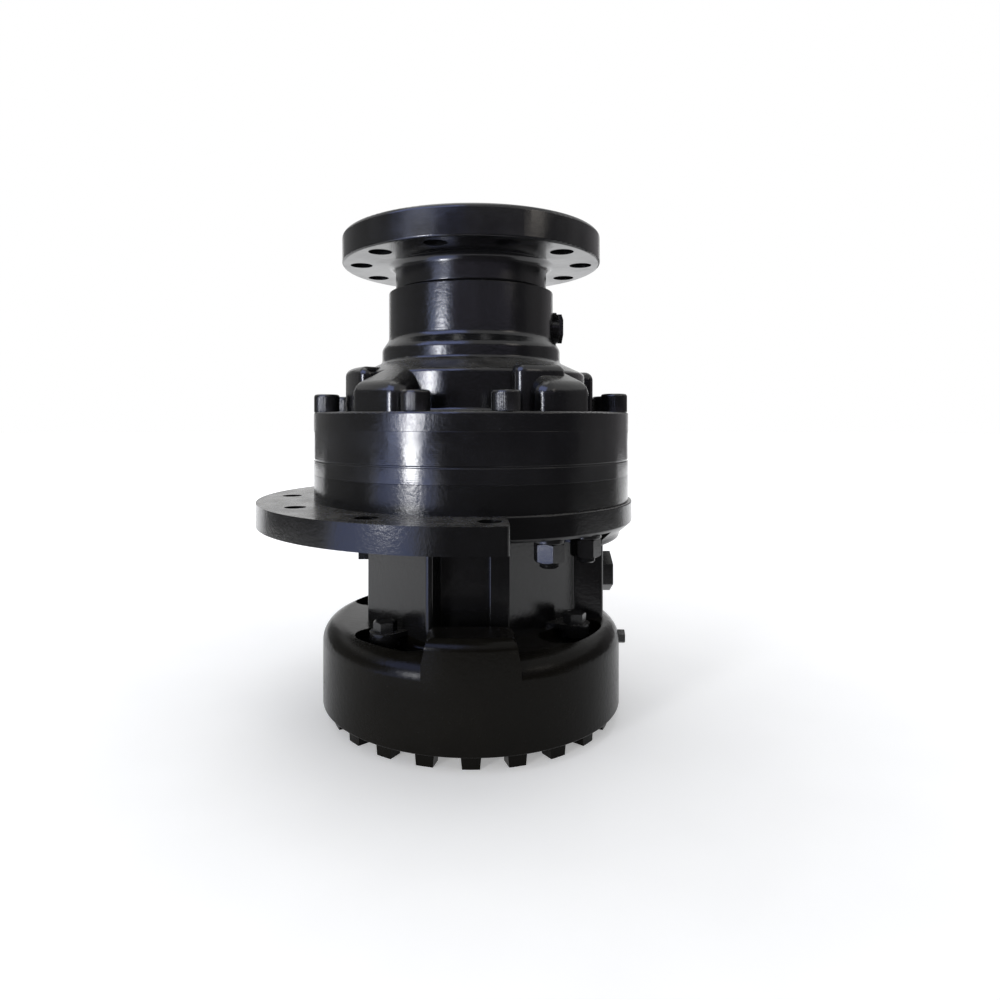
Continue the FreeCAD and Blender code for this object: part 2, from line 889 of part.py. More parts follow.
def make_distributor_rings():
    levels = distributor_levels()
    rings = []
    for radius, bottom in zip(step_radii, levels[1:]):
        groove_z = bottom + 3.0
        rings.append(ring(radius, radius - ring_seal_depth + 0.1, groove_z, groove_z + ring_seal_t))
    export("distributor_seals", Part.makeCompound(rings))
    foot = levels[-1]
    outer = step_radii[-1] - 4.0
    inner = distributor_bore_r + 13.0
    floor = foot - wave_spring_gap
    export("distributor_spring", turned([
        (outer, foot - wave_spring_t),
        (outer, foot),
        (inner, floor + wave_spring_t),
        (inner, floor),
    ]))
    export("locating_pin", rod(locating_pin_r, foot - locating_pin_len / 2.0,
                               foot + locating_pin_len / 2.0 - piece_gap, pin_at()))


# Rear case

def block_outline():
    """Plan of the valve block, anticlockwise from the left."""
    edge = block_edge_r
    right_low = block_right_y - block_right_half_y
    right_high = block_right_y + block_right_half_y
    rib_left = block_nose_x - 1.0 - block_rib_w
    return [
        (-block_half_w, block_side_half_y, edge),
        (-block_half_w, -block_side_half_y, edge),
        (-block_nose_x, -block_nose_y, edge),
        (-block_nose_x + 6.0, -block_recess_y, edge / 2.0),
        (rib_left, -block_recess_y),
        (rib_left + 1.0, -block_rib_y, edge / 2.0),
        (block_nose_x - 1.0, -block_rib_y, edge / 2.0),
        (block_half_w, right_low, edge),
        (block_right_x, right_low, edge),
        (block_right_x, right_high, edge),
        (block_waist_x, right_high, edge),
        (block_back_x, block_back_y - block_back_t, edge),
        (block_back_x, block_back_y, edge),
        (-block_back_x, block_back_y, edge),
        (-block_back_x, block_back_y - block_back_t, edge),
    ]


def chassis_plate():
    disc = rod(plate_r, plate_bottom, 0.0)
    beyond = box(plate_cut_x, 2.0 * plate_r, -2.0 * plate_r, 2.0 * plate_r, plate_bottom - 1.0, 1.0)
    half_moon = disc.cut(beyond)
    corners = [
        e for e in half_moon.Edges
        if abs(e.Vertexes[0].X - plate_cut_x) < 1e-6 and abs(e.Length - plate_t) < 1e-6
        and abs(e.Vertexes[0].Z - e.Vertexes[-1].Z) > 1.0
    ]
    return half_moon.makeFillet(plate_corner_r, corners)


def spool_ends():
    """The left and right faces of the valve block where the spool bore opens."""
    left = block_half_w - back_facet_run() * (spool_y - block_side_half_y)
    return -left, block_right_x


def back_facet_run():
    """How far the left rear facet comes in along X for each millimetre along Y."""
    return (block_half_w - block_back_x) / (block_back_y - block_back_t - block_side_half_y)


def make_rear_case():
    rim = turned([
        (0, plate_bottom),
        (disc_r - step_chamfer, plate_bottom),
        (disc_r, plate_bottom + step_chamfer, 1.0),
        (disc_r, 0, 1.0),
        (case_r, 0),
        (case_r, rear_top),
        (0, rear_top),
    ])
    step = turned([
        (0, step_bottom),
        (step_r, step_bottom, 2.0),
        (step_r, plate_bottom - step_flare, 3.0),
        (disc_r - step_chamfer, plate_bottom),
        (0, plate_bottom),
    ], step_to - step_from, step_from)
    block = plate(block_outline(), joint_z, plate_bottom + 1.0)
    side_rib = box(-block_half_w - side_rib_t, 0, -side_rib_half_w, side_rib_half_w,
                   plate_bottom - side_rib_drop, plate_bottom)
    ears = [side_rib]
    for a in ear_angles():
        at = polar(ear_ring_r, a)
        root = polar(ear_ring_r - ear_r * 2.0, a)
        lug = turned([
            (0, ear_bottom()),
            (ear_r - ear_chamfer, ear_bottom()),
            (ear_r, ear_bottom() + ear_chamfer),
            (ear_r, ear_seat()),
            (0, ear_seat()),
        ])
        lug.translate(at)
        side = polar(ear_r, a + 90.0)
        neck = plate([
            ((at + side).x, (at + side).y),
            ((at - side).x, (at - side).y),
            ((root - side).x, (root - side).y),
            ((root + side).x, (root + side).y),
        ], joint_z, ear_seat())
        ears.append(lug)
        ears.append(neck)
    body = rim.fuse([step, block, chassis_plate()] + ears)
    cuts = [plate_hole(k) for k in range(-plate_hole_pairs, plate_hole_pairs + 1)]
    cuts += case_bolt_holes(rear_top - case_bolt_thread_depth - 2.0, rear_top + 1.0)
    cuts += stud_holes(plate_bottom - 1.0, rear_top + 1.0)
    for a in ear_angles():
        cuts.append(rod(brake_bolt_hole_r, ear_bottom() - 1.0, ear_seat() + 1.0, polar(ear_ring_r, a)))
    levels = distributor_levels()
    top = rear_top + 1.0
    for radius, bottom in zip(step_radii, levels[1:]):
        cuts.append(rod(radius + distributor_slack, bottom, top))
        top = bottom + 0.5
    floor = levels[-1] - wave_spring_gap
    cuts.append(rod(step_radii[-1] + distributor_slack, floor, levels[-1] + 0.5))
    for radius, upper, lower in zip(step_radii[1:], levels[1:], levels[2:]):
        middle = (upper + lower) / 2.0 + 2.0
        cuts.append(ring(radius + annulus_depth, radius - 1.0, middle, middle + annulus_w))
    cuts.append(rod(distributor_bore_r, joint_z - 1.0, floor + 1.0))
    cuts.append(rod(locating_pin_r + 0.05, floor - locating_pin_len / 2.0, floor + 1.0, pin_at()))
    cuts += port_cuts(levels)
    cuts += spool_cuts()
    cuts.append(seal_groove(rear_top, -1.0))
    export("rear_case", body.cut(cuts))


def plate_hole(k):
    """A hole of the half-moon flange, counted from the middle one."""
    at = polar(plate_bolt_ring_r, plate_hole_pitch * k - quarter)
    return rod(plate_hole_r, plate_bottom - 1.0, 1.0, at)


def port_cuts(levels):
    """The two work ports, each with a passage to its annulus, and the small drain port."""
    cuts = []
    mouth = block_back_y
    for side, radius, upper, lower in (
        (-1.0, step_radii[1], levels[1], levels[2]),
        (1.0, step_radii[2], levels[2], levels[3]),
    ):
        x = side * port_x
        foot = Vector(x, mouth - port_depth, port_z)
        cuts.append(bar(port_r, foot, Vector(x, mouth + 1.0, port_z)))
        cuts.append(bar(port_face_r, Vector(x, mouth - port_face_depth, port_z),
                        Vector(x, mouth + 5.0, port_z)))
        middle = (upper + lower) / 2.0 + 2.0 + annulus_w / 2.0
        reach = radius + annulus_depth - 1.0
        end = Vector(x * 0.8, math.sqrt(reach * reach - x * x * 0.64), middle)
        cuts.append(bar(passage_r, foot + Vector(0, 2.0, 0), end))
    z = plate_bottom - small_port_drop
    foot = Vector(0, mouth - small_port_depth, z)
    cuts.append(bar(small_port_r, foot, Vector(0, mouth + 1.0, z)))
    cuts.append(bar(drain_passage_r, Vector(0, distributor_bore_r - 2.0, z), foot + Vector(0, 1.0, 0)))
    return cuts


def make_small_plugs():
    z = plate_bottom - small_port_drop
    face = Vector(0, block_back_y, z)
    head = aimed(hexagon(small_plug_flats, 0, small_plug_head), face, Vector(0, 1, 0))
    shank = bar(small_port_r, Vector(0, block_back_y - small_port_depth + 2.0, z), face)
    export("drain_plug", head.fuse(shank).removeSplitter())


def spool_cuts():
    left, right = spool_ends()
    bore = bar(spool_bore_r, Vector(left - cap_flats, spool_y, spool_z),
               Vector(right + 1.0, spool_y, spool_z))
    seat_right = bar(cap_bore_r, Vector(right - cap_seat_depth, spool_y, spool_z),
                     Vector(right + 1.0, spool_y, spool_z))
    seat_left = bar(cap_bore_r, Vector(left - cap_flats, spool_y, spool_z),
                    Vector(left + cap_seat_depth, spool_y, spool_z))
    return [bore, seat_left, seat_right]


def make_spool():
    left, right = spool_ends()
    left_stop = left + cap_seat_depth + 4.0
    right_stop = right - cap_seat_depth
    spool_right = right_stop - spool_spring_len
    radius = spool_bore_r - spool_slack
    waist = (spool_right - left_stop - 3.0 * spool_land) / 2.0
    points = [(0.0, left_stop), (radius, left_stop)]
    x = left_stop
    for k in range(3):
        x += spool_land
        points.append((radius, x))
        if k < 2:
            points.append((spool_waist_r, x))
            x += waist
            points.append((spool_waist_r, x))
            points.append((radius, x))
    points.append((0.0, x))
    body = turned(points)
    export("two_speed_spool", lay_along_x(body))
    mean = spool_spring_r
    pitch = (spool_spring_len - 2.0 * piece_gap - spool_spring_wire) / spool_spring_turn_count
    helix = Part.makeHelix(pitch, pitch * spool_spring_turn_count, mean)
    half = spool_spring_wire / 2.0
    section = Part.Wire(Part.makePolygon([
        Vector(mean - half, 0, -half), Vector(mean + half, 0, -half),
        Vector(mean + half, 0, half), Vector(mean - half, 0, half), Vector(mean - half, 0, -half)]))
    coil = Part.Wire(helix.Edges).makePipeShell([section], True, True)
    coil.translate(Vector(0, 0, spool_right + piece_gap + half))
    export("spool_spring", lay_along_x(coil))
    for name, face_x, outwards, reach in (
        ("spool_cap_left", left, -1.0, cap_seat_depth),
        ("spool_cap_right", right, 1.0, cap_seat_depth),
    ):
        head_from = face_x
        if outwards < 0:
            head_from = face_x + cap_bore_r * back_facet_run() + left_plug_inset
        shank = bar(cap_bore_r - 0.05, Vector(face_x - outwards * (reach - 0.05), spool_y, spool_z),
                    Vector(head_from, spool_y, spool_z))
        if outwards < 0:
            stop_r = spool_waist_r
            stop_x = left_stop
        else:
            stop_r = spool_stop_r
            stop_x = spool_right + spool_travel + piece_gap
        stop = bar(stop_r, Vector(stop_x, spool_y, spool_z), Vector(head_from, spool_y, spool_z))
        if outwards < 0:
            socket = aimed(hexagon(left_plug_socket_flats, 0, left_plug_socket_depth + 1.0),
                           Vector(head_from + left_plug_socket_depth, spool_y, spool_z), Vector(-1, 0, 0))
            export(name, joined([shank, stop]).cut(socket))
        else:
            head = aimed(hexagon(cap_flats, 0, cap_head), Vector(head_from, spool_y, spool_z),
                         Vector(1, 0, 0))
            export(name, joined([head, shank, stop]))


def lay_along_x(shape):
    """Lays a shape that was built along +Z on the spool's axis, along +X."""
    return aimed(shape, Vector(0, spool_y, spool_z), Vector(1, 0, 0))


# Brake

def pocket(first, last):
    """A round-ended pocket in the housing's shoulder, between two bearing angles."""
    top = joint_z + 1.0
    floor = joint_z - pocket_depth
    half = (pocket_outer_r - pocket_inner_r) / 2.0
    middle = pocket_inner_r + half
    run = math.degrees(half / middle)
    trough = turned([
        (pocket_inner_r, floor, pocket_edge_r),
        (pocket_outer_r, floor, pocket_edge_r),
        (pocket_outer_r, top),
        (pocket_inner_r, top),
    ], last - first - 2.0 * run, first + run)
    parts = [trough]
    for angle, start in ((first + run, 180.0), (last - run, 0.0)):
        end = turned([(0, floor), (half, floor, pocket_edge_r), (half, top), (0, top)], 180.0, angle + start)
        end.translate(polar(middle, angle))
        parts.append(end)
    return joined(parts)


def pockets():
    """The pockets that the valve block's ears reach down into, two in front and two behind."""
    left = ear_turn - ear_angle
    right = ear_turn + ear_angle
    front = [pocket(left - pocket_away, left + pocket_toward_web),
             pocket(right - pocket_toward_web, right + pocket_away)]
    return front + [turn(p, 180.0) for p in front]


def lug():
    """One lug of the foot ring: tapered towards its foot."""
    outer = lug_outer_r
    half_top = lug_top_w / 2.0
    half_foot = lug_foot_w / 2.0
    face = Part.Face(outline([
        (-half_top, housing_bottom + 2.0),
        (-half_top, housing_bottom),
        (-half_foot, lug_bottom),
        (half_foot, lug_bottom),
        (half_top, housing_bottom),
        (half_top, housing_bottom + 2.0),
    ], lambda x, z: Vector(x, -outer - 5.0, z)))
    prism = face.extrude(Vector(0, outer - spring_bore_r + 10.0, 0))
    return prism.common(ring(outer, spring_bore_r, lug_bottom - 1.0, housing_bottom + 3.0))


def make_brake_housing():
    disc_top = joint_z - disc_bore_top
    disc_foot = disc_top - disc_bore_h
    body = turned([
        (wall_bore_r, joint_z),
        (housing_r, joint_z, shoulder_r),
        (housing_r, housing_bottom, 1.0),
        (spring_bore_r, housing_bottom),
        (spring_bore_r, disc_foot),
        (disc_bore_r, disc_foot),
        (disc_bore_r, disc_top),
        (wall_bore_r, disc_top),
    ])
    web_foot_z = joint_z - shoulder_r - 4.0
    web_half_foot = web_half_w + web_foot
    web_face = Part.Face(outline([
        (-web_half_foot, web_foot_z),
        (web_half_foot, web_foot_z),
        (web_half_foot, joint_z - 4.0),
        (web_half_w, joint_z + 4.0, web_edge_r),
        (web_half_w, joint_z + web_rise, web_edge_r),
        (-web_half_w, joint_z + web_rise, web_edge_r),
        (-web_half_w, joint_z + 4.0, web_edge_r),
        (-web_half_foot, joint_z - 4.0),
    ], lambda x, z: Vector(x, -web_inner_y, z)))
    web = turned([
        (web_inner_y - 8.0, web_foot_z),
        (housing_r, web_foot_z),
        (housing_r, joint_z + web_rise, web_edge_r),
        (web_inner_y - 8.0, joint_z + web_rise),
    ]).common(web_face.extrude(Vector(0, -housing_r, 0)))
    body = body.cut(pockets())
    port_z = brake_port_level()
    port_face = housing_r + brake_port_boss_t
    port_foot = port_face - brake_port_depth
    boss = bar(brake_port_boss_r, Vector(0, port_foot, port_z), Vector(0, port_face, port_z))
    body = body.fuse([web, boss] + around(lug(), lug_count))
    cuts = []
    for a in ear_angles():
        cuts.append(rod(brake_bolt_hole_r, ear_bottom() - brake_bolt_thread - 1.0, joint_z,
                        polar(ear_ring_r, a)))
    cuts.append(bar(brake_port_r, Vector(0, port_foot, port_z), Vector(0, port_face + 1.0, port_z)))
    cuts.append(bar(brake_port_passage_r, Vector(0, spring_bore_r - 1.0, port_z),
                    Vector(0, port_foot + 1.0, port_z)))
    half_tab = separator_tab_w / 2.0
    tab = box(0, disc_bore_r + separator_tab_h, -half_tab, half_tab, disc_foot, disc_top)
    cuts.append(ring(disc_bore_r + separator_tab_h, disc_bore_r - 1.0, disc_foot, disc_top).common(
        joined(around(tab, separator_tab_count))))
    cuts.append(ring(spring_bore_r + cover_ring_bite, spring_bore_r - 1.0,
                     cover_bottom() - cover_ring_t, cover_bottom()))
    bleed = polar(housing_r, bleed_angle, joint_z - bleed_drop)
    inner = polar(housing_r - bleed_shank, bleed_angle, joint_z - bleed_drop)
    cuts.append(bar(bleed_shank_r, inner, bleed * 1.02 - Vector(0, 0, 0.02 * bleed.z)))
    export("brake_housing", body.cut(cuts))


def brake_port_level():
    """The brake port opens into the oil room above the step of the brake piston."""
    return joint_z - disc_bore_top - disc_bore_h - brake_piston_travel / 2.0


def make_brake_port_plug():
    z = brake_port_level()
    face = Vector(0, housing_r + brake_port_boss_t, z)
    foot = face - Vector(0, brake_port_depth - piece_gap, 0)
    head = aimed(hexagon(brake_plug_flats, 0, brake_plug_head), face, Vector(0, 1, 0))
    export("brake_port_plug", joined([head, bar(brake_port_r, foot, face)]))


def disc_stack_foot():
    count = friction_disc_count
    thick = count * friction_t + (count + 1) * separator_t + 2 * count * disc_gap
    return joint_z - disc_bore_top - piece_gap - thick


def cover_top():
    return cover_bottom() + cover_t


def cover_bottom():
    return housing_bottom + cover_ring_t + 1.0


def make_brake_discs():
    top = joint_z - disc_bore_top - piece_gap
    friction = []
    separators = []
    z = top
    gear = splined(brake_hub_r, brake_hub_root_r, brake_hub_tooth_count, spline_slack, 0.0, friction_t)
    tab_length = disc_bore_r + separator_tab_h - tab_slack
    half_tab = separator_tab_w / 2.0 - tab_slack
    for i in range(friction_disc_count + 1):
        blank = ring(disc_bore_r - tab_slack, separator_inner_r, z - separator_t, z)
        tab = box(separator_inner_r + 10.0, 2.0 * disc_bore_r, -half_tab, half_tab,
                  z - separator_t, z).common(rod(tab_length, z - separator_t, z))
        separators.append(joined([blank] + around(tab, separator_tab_count)))
        z -= separator_t + disc_gap
        if i == friction_disc_count:
            break
        lining = rod(friction_outer_r, z - friction_t, z)
        teeth = gear.copy()
        teeth.translate(Vector(0, 0, z - friction_t))
        friction.append(lining.cut(teeth))
        z -= friction_t + disc_gap
    export("friction_discs", Part.makeCompound(friction))
    export("separator_discs", Part.makeCompound(separators))


def make_brake_shaft():
    hub_top = joint_z - disc_bore_top - 0.5
    body = rod(brake_shaft_r, hub_top - brake_hub_h, distributor_top + 2.0)
    hub = splined(brake_hub_r, brake_hub_root_r, brake_hub_tooth_count, 0.0, hub_top - brake_hub_h, hub_top)
    top = spline_bottom - 2.0
    head = splined(spline_tip_r, spline_root_r, spline_tooth_count, 0.0, block_bottom + 1.0, top)
    export("brake_shaft", body.fuse([hub, head]))


def brake_piston_levels():
    """Top of the nose, step, and foot of the brake piston."""
    nose = disc_stack_foot() - piece_gap
    step = joint_z - disc_bore_top - disc_bore_h - brake_piston_travel
    return nose, step, step - brake_piston_t


def make_brake_piston():
    nose, step, foot = brake_piston_levels()
    bore = brake_hub_r + 4.0
    rim = spring_bore_r - brake_piston_slack
    neck = disc_bore_r - brake_piston_slack
    body = turned([
        (bore, nose),
        (neck, nose, 1.0),
        (neck, step),
        (rim, step, 1.0),
        (rim, foot, 1.0),
        (bore, foot),
    ])
    export("brake_piston", body.cut(brake_seal_grooves()))


def brake_seal_grooves():
    nose, step, foot = brake_piston_levels()
    big_z = (step + foot) / 2.0 - brake_seal_t / 2.0
    return [ring(spring_bore_r + 1.0, spring_bore_r - brake_seal_depth, big_z, big_z + brake_seal_t)]


def make_brake_small_pieces():
    nose, step, foot = brake_piston_levels()
    big_z = (step + foot) / 2.0 - brake_seal_t / 2.0
    export("brake_piston_seal", ring(spring_bore_r - brake_piston_slack,
                                     spring_bore_r - brake_seal_depth + 0.1,
                                     big_z, big_z + brake_seal_t))
    top = foot
    floor = cover_top()
    rise = top - floor
    export("brake_spring", turned([
        (spring_bore_r - 3.0, floor),
        (spring_bore_r - 3.0, floor + spring_cone_t),
        (spring_cone_inner_r, floor + rise),
        (spring_cone_inner_r, floor + rise - spring_cone_t),
    ]))
    edge = spring_bore_r - cover_slack
    export("brake_cover", turned([
        (0, cover_bottom() + 3.0),
        (edge - 16.0, cover_bottom() + 3.0),
        (edge - 19.0, cover_bottom()),
        (edge, cover_bottom()),
        (edge, cover_top()),
        (0, cover_top()),
    ]))
    snap = ring(spring_bore_r + cover_ring_bite - 0.1, spring_bore_r - cover_ring_lip,
                cover_bottom() - cover_ring_t, cover_bottom())
    gap = box(0, 2.0 * spring_bore_r, -6.0, 6.0, cover_bottom() - cover_ring_t, cover_bottom())
    export("cover_retaining_ring", snap.cut(gap))


def make_brake_bolts():
    bolts = []
    seat = ear_seat()
    for a in ear_angles():
        at = polar(ear_ring_r, a)
        shank = rod(brake_bolt_r, ear_bottom() - brake_bolt_thread, seat, at)
        head = hexagon(brake_bolt_flats, seat, seat + brake_bolt_head, at, a)
        bolts.append(shank.fuse(head).removeSplitter())
    export("brake_bolts", Part.makeCompound(bolts))


def make_bleed_screw():
    z = joint_z - bleed_drop
    face = polar(housing_r, bleed_angle, z)
    out = polar(1.0, bleed_angle)
    head = aimed(hexagon(bleed_flats, 0, bleed_head), face, out)
    shank = bar(bleed_shank_r, face - out * (bleed_shank - 0.3), face)
    export("bleed_screw", head.fuse(shank).removeSplitter())


os.makedirs("parts", exist_ok=True)
make_output_shaft()
make_shaft_rings()
make_shaft_seal()
make_bearing("outer_bearing", outer_journal_r, outer_cup_r, outer_bearing_w, outer_roller_r,
             outer_back, -1.0)
make_bearing("inner_bearing", inner_journal_r, inner_cup_r, inner_bearing_w, inner_roller_r,
             inner_back, 1.0)
make_front_case()
make_neck_plug()
make_case_seals()
make_case_bolts()
make_rear_studs()
make_cam_ring()
make_cylinder_block()
make_pistons()
make_distributor()
make_distributor_rings()
make_rear_case()
make_small_plugs()
make_spool()
make_brake_housing()
make_brake_discs()
make_brake_shaft()
make_brake_piston()
make_brake_small_pieces()
make_brake_bolts()
make_brake_port_plug()
make_bleed_screw()
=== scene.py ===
import bmesh
import bpy
import math
from mathutils import Matrix, Vector


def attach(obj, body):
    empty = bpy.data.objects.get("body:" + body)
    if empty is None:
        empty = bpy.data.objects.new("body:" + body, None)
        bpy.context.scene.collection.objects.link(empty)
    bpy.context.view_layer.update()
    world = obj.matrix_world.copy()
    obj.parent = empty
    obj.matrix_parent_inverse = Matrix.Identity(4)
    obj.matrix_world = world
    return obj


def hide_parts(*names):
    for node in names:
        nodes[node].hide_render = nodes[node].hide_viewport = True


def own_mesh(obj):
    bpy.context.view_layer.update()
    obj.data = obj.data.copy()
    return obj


# Hydraulic drive motor in glossy black paint over rough castings, standing on its brake lugs.
# Metres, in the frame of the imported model: +Z along the shaft, the front looks along -Y.

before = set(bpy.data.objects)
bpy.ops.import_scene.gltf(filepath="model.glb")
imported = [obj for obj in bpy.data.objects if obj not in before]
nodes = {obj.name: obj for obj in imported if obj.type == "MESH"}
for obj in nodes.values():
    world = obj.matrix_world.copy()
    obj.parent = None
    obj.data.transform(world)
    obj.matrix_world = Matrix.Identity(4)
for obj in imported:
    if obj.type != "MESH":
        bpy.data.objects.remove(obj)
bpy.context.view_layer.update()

millimetre = 0.001

# The floor, at the ends of the lugs, and what lies just over it
stand_z = -0.155
over_floor = stand_z + 0.001

# Bolt rings: radius, bearing of the middle of the first pair, step to the next pair, half of a
# pair's spread, number of screws. Bearings are in degrees from the front, turning to the right.
case_screw_ring = (0.1058, 86.5, 90.0, 15.0, 8)
brake_screw_ring = (0.081, 9.0, 180.0, 54.0, 4)
stud_ring = (0.1058, 35.5, 180.0, 8.5, 2)


# Shader building

class Finish:
    """A node material under construction, reading Object coordinates."""

    def __init__(self, name):
        self.material = bpy.data.materials.new(name)
        self.material.use_nodes = True
        self.tree = self.material.node_tree
        self.shader = self.tree.nodes["Principled BSDF"]
        self.place = self.tree.nodes.new("ShaderNodeTexCoord").outputs["Object"]

    def node(self, kind, **settings):
        made = self.tree.nodes.new(kind)
        for key, value in settings.items():
            setattr(made, key, value)
        return made

    def link(self, source, target):
        self.tree.links.new(source, target)

    def stretched(self, scale):
        """The place, with each axis scaled."""
        mapping = self.node("ShaderNodeMapping")
        mapping.inputs["Scale"].default_value = scale
        self.link(self.place, mapping.inputs["Vector"])
        return mapping.outputs["Vector"]

    def noise(self, size, detail, rough=0.55, place=None):
        """Noise whose blotches are about a size across, in metres."""
        made = self.node("ShaderNodeTexNoise")
        made.inputs["Scale"].default_value = 1.0 / size
        made.inputs["Detail"].default_value = detail
        made.inputs["Roughness"].default_value = rough
        self.link(place or self.place, made.inputs["Vector"])
        return made.outputs["Fac"]

    def spread(self, source, low, high, to_low=0.0, to_high=1.0):
        """A value stretched from one range to another and held within it."""
        made = self.node("ShaderNodeMapRange")
        ends = (("From Min", low), ("From Max", high), ("To Min", to_low), ("To Max", to_high))
        for name, value in ends:
            made.inputs[name].default_value = value
        self.link(source, made.inputs["Value"])
        return made.outputs["Result"]

    def math(self, operation, first, second=0.0):
        made = self.node("ShaderNodeMath", operation=operation)
        for slot, value in enumerate((first, second)):
            if isinstance(value, float):
                made.inputs[slot].default_value = value
            else:
                self.link(value, made.inputs[slot])
        return made.outputs["Value"]

    def blend(self, share, first, second):
        """A colour between two, by a share; a colour is a triple or a socket."""
        made = self.node("ShaderNodeMix", data_type="RGBA")
        self.link(share, made.inputs["Factor"])
        for name, value in (("A", first), ("B", second)):
            socket = [s for s in made.inputs if s.name == name and s.type == "RGBA"][0]
            if isinstance(value, tuple):
                socket.default_value = (*value, 1.0)
            else:
                self.link(value, socket)
        return [s for s in made.outputs if s.type == "RGBA"][0]

    def bump(self, height, strength, depth, under=None):
        """A normal roughened by a height; under is the normal of the layer below."""
        made = self.node("ShaderNodeBump")
        made.inputs["Strength"].default_value = strength
        made.inputs["Distance"].default_value = depth
        self.link(height, made.inputs["Height"])
        if under is not None:
            self.link(under, made.inputs["Normal"])
        return made.outputs["Normal"]

    def dust_film(self, upward, patch_size, patches, amount):
        """Dust that settles in patches on faces that look up; upward and patches are ranges."""
        up = self.node("ShaderNodeSeparateXYZ")
        self.link(self.node("ShaderNodeNewGeometry").outputs["Normal"], up.inputs["Vector"])
        facing_up = self.spread(up.outputs["Z"], *upward)
        patchy = self.spread(self.noise(patch_size, detail=5.0, rough=0.7), *patches)
        return self.math("MULTIPLY", self.math("MULTIPLY", facing_up, patchy), amount)

    def waves(self, along, pitch):
        """A sine that repeats at a pitch, in metres, along a value."""
        return self.math("SINE", self.math("MULTIPLY", along, 2.0 * math.pi / pitch))

    def set(self, **values):
        """Give the shader its inputs by name; a value is a number, a triple or a socket."""
        for key, value in values.items():
            socket = self.shader.inputs[key.replace("_", " ")]
            if isinstance(value, (int, float)):
                socket.default_value = value
            elif isinstance(value, tuple):
                socket.default_value = (*value, 1.0)
            else:
                self.link(value, socket)
        return self.material


enamel_ior = 1.5
cloud_range = (0.35, 0.68)
gloss_range = (0.35, 0.65)


def black_enamel(name, tint, sheen, grain, grain_size, dust, shine=0.42):
    """Sprayed gloss black paint: the casting's grain shows through, with orange peel on top."""
    dust_colour = (0.125, 0.121, 0.112)
    paint = Finish(name)
    cloudy = paint.noise(0.035, detail=4.0)
    fine = paint.noise(grain_size, detail=5.0, rough=0.62)
    peel = paint.noise(0.0042, detail=2.0, rough=0.4)
    deep = tuple(0.72 * c for c in tint)
    body = paint.blend(paint.spread(cloudy, *cloud_range), deep, tint)
    film = paint.dust_film((0.55, 0.98), 0.012, (0.25, 0.65), dust)
    colour = paint.blend(film, body, dust_colour)
    mottled = paint.math("ADD", paint.math("MULTIPLY", cloudy, 0.6),
                         paint.math("MULTIPLY", fine, 0.4))
    gloss = paint.spread(mottled, *gloss_range, sheen - 0.05, sheen + 0.09)
    dulled = paint.math("ADD", gloss, paint.math("MULTIPLY", film, 0.22))
    cast = paint.bump(fine, grain, 0.0006)
    skin = paint.bump(peel, 0.10, 0.0004, cast)
    return paint.set(Base_Color=colour, Roughness=dulled, Normal=skin, IOR=enamel_ior,
                     Specular_IOR_Level=shine)


def turned_enamel(name, tint, sheen):
    """The same paint over a turned face: faint rings of the tool about the shaft."""
    dust_colour = (0.040, 0.039, 0.038)
    paint = Finish(name)
    split = paint.node("ShaderNodeSeparateXYZ")
    paint.link(paint.place, split.inputs["Vector"])
    across = paint.node("ShaderNodeCombineXYZ")
    paint.link(split.outputs["X"], across.inputs["X"])
    paint.link(split.outputs["Y"], across.inputs["Y"])
    radius = paint.node("ShaderNodeVectorMath", operation="LENGTH")
    paint.link(across.outputs["Vector"], radius.inputs[0])
    rings = paint.waves(radius.outputs["Value"], 0.0011)
    bands = paint.waves(split.outputs["Z"], 0.0013)
    marks = paint.math("ADD", rings, bands)
    cloudy = paint.noise(0.03, detail=4.0)
    peel = paint.noise(0.0045, detail=2.0, rough=0.4)
    fine = paint.noise(0.0016, detail=4.0, rough=0.6)
    deep = tuple(0.7 * c for c in tint)
    body = paint.blend(paint.spread(cloudy, *cloud_range), deep, tint)
    film = paint.dust_film((0.6, 0.99), 0.011, (0.45, 0.75), 0.22)
    colour = paint.blend(film, body, dust_colour)
    gloss = paint.spread(cloudy, *gloss_range, sheen - 0.04, sheen + 0.08)
    dulled = paint.math("ADD", gloss, paint.math("MULTIPLY", film, 0.5))
    lathe = paint.bump(marks, 0.012, 0.0002)
    grit = paint.bump(fine, 0.10, 0.0004, lathe)
    skin = paint.bump(peel, 0.12, 0.0004, grit)
    return paint.set(Base_Color=colour, Roughness=dulled, Normal=skin, IOR=enamel_ior,
                     Specular_IOR_Level=0.45)


def bare_steel(name, colour, rough):
    """Machined steel with an oil film."""
    steel = Finish(name)
    brushed = steel.noise(0.0025, detail=3.0, rough=0.6, place=steel.stretched((1.0, 1.0, 9.0)))
    stain = steel.noise(0.02, detail=4.0)
    darker = tuple(0.75 * c for c in colour)
    tone = steel.blend(steel.spread(stain, 0.35, 0.7), darker, colour)
    gloss = steel.spread(brushed, 0.3, 0.7, rough - 0.08, rough + 0.1)
    return steel.set(Base_Color=tone, Roughness=gloss, Metallic=1.0,
                     Normal=steel.bump(brushed, 0.12, 0.0003))


def sintered_bronze(name):
    """The friction lining: bronze full of dark pores."""
    bronze = Finish(name)
    pores = bronze.noise(0.0012, detail=5.0, rough=0.7)
    tone = bronze.blend(bronze.spread(pores, 0.4, 0.65), (0.16, 0.10, 0.055), (0.36, 0.25, 0.14))
    return bronze.set(Base_Color=tone, Roughness=0.55, Metallic=0.85,
                      Normal=bronze.bump(pores, 0.35, 0.0004))


